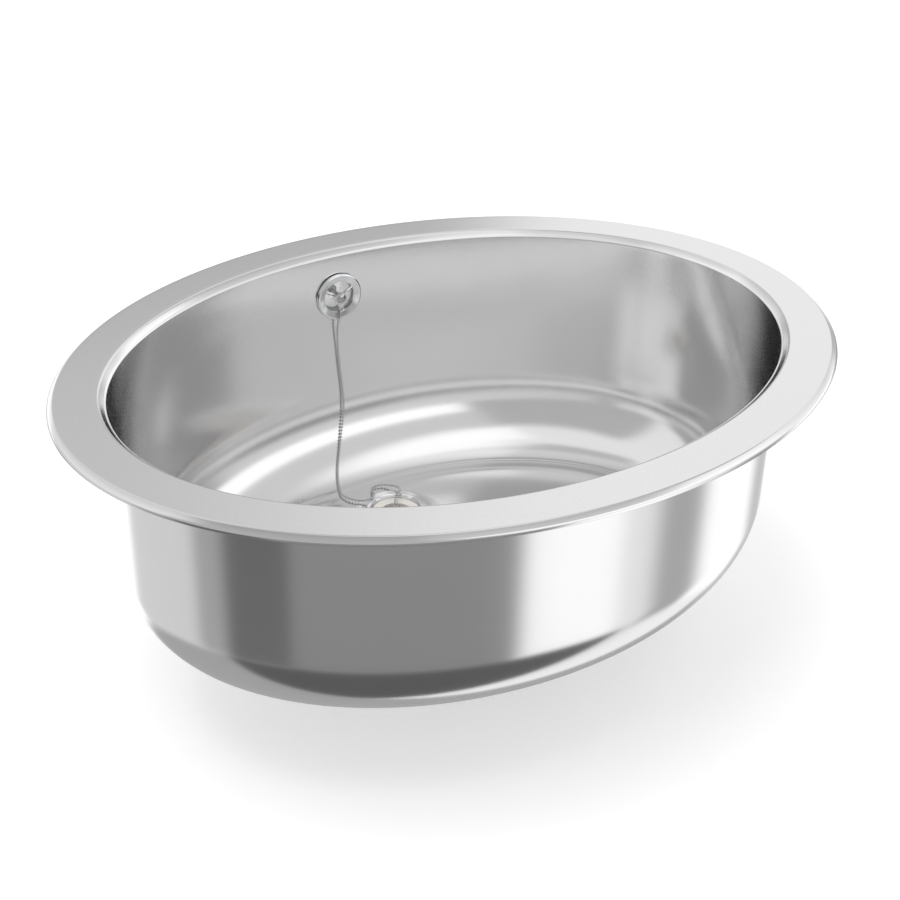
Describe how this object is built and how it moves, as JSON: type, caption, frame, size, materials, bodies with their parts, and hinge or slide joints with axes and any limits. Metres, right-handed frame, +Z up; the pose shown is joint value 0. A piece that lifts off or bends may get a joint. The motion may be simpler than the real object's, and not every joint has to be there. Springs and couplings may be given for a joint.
{
  "type": "washbasin",
  "caption": "Oval inset washbasin pressed from stainless sheet, with overflow, hose, grated waste, and a plug on a ball chain.",
  "frame": {"origin": "centre of the oval on the worktop plane, which is the underside of the rim seal", "axes": "+X along the basin, +Y to the rear where the overflow is, +Z up out of the bowl"},
  "size_m": [0.53, 0.412, 0.2398],
  "materials": {
    "stainless_sheet": "fine satin with soft reflections",
    "chrome": "polished plate",
    "stainless_screw": "turned bright",
    "chain_metal": "dull nickel plate",
    "brass": "turned",
    "black_seal": "matt",
    "brown_rubber": "matt",
    "white_moulding": "moulded, slight sheen",
    "cream_moulding": "moulded, soft gloss",
    "grey_hose": "flexible, satin"
  },
  "bodies": {
    "basin": {"basin_shell": "stainless_sheet", "rim_seal": "black_seal", "overflow_rosette": "chrome", "chain_stay": "chrome", "overflow_screw": "stainless_screw", "overflow_gasket": "black_seal", "overflow_elbow": "white_moulding", "overflow_insert": "brass", "upper_hose_collar": "white_moulding", "overflow_hose": "grey_hose", "lower_hose_collar": "white_moulding", "waste_flange": "chrome", "flange_seal": "black_seal", "waste_seal": "black_seal", "waste_body": "white_moulding", "waste_insert": "brass", "waste_screw": "stainless_screw", "upper_chain_end": "chain_metal", "chain": "chain_metal"},
    "waste_plug": {"plug": "cream_moulding", "plug_stopper": "brown_rubber", "plug_eye": "stainless_screw", "lower_chain_end": "chain_metal"}
  },
  "joints": [
    {"name": "plug_lift", "type": "slide", "parent": "basin", "child": "waste_plug", "axis": [0, 0, 1], "range_m": [0, 0.025], "deforming": ["chain"]}
  ]
}
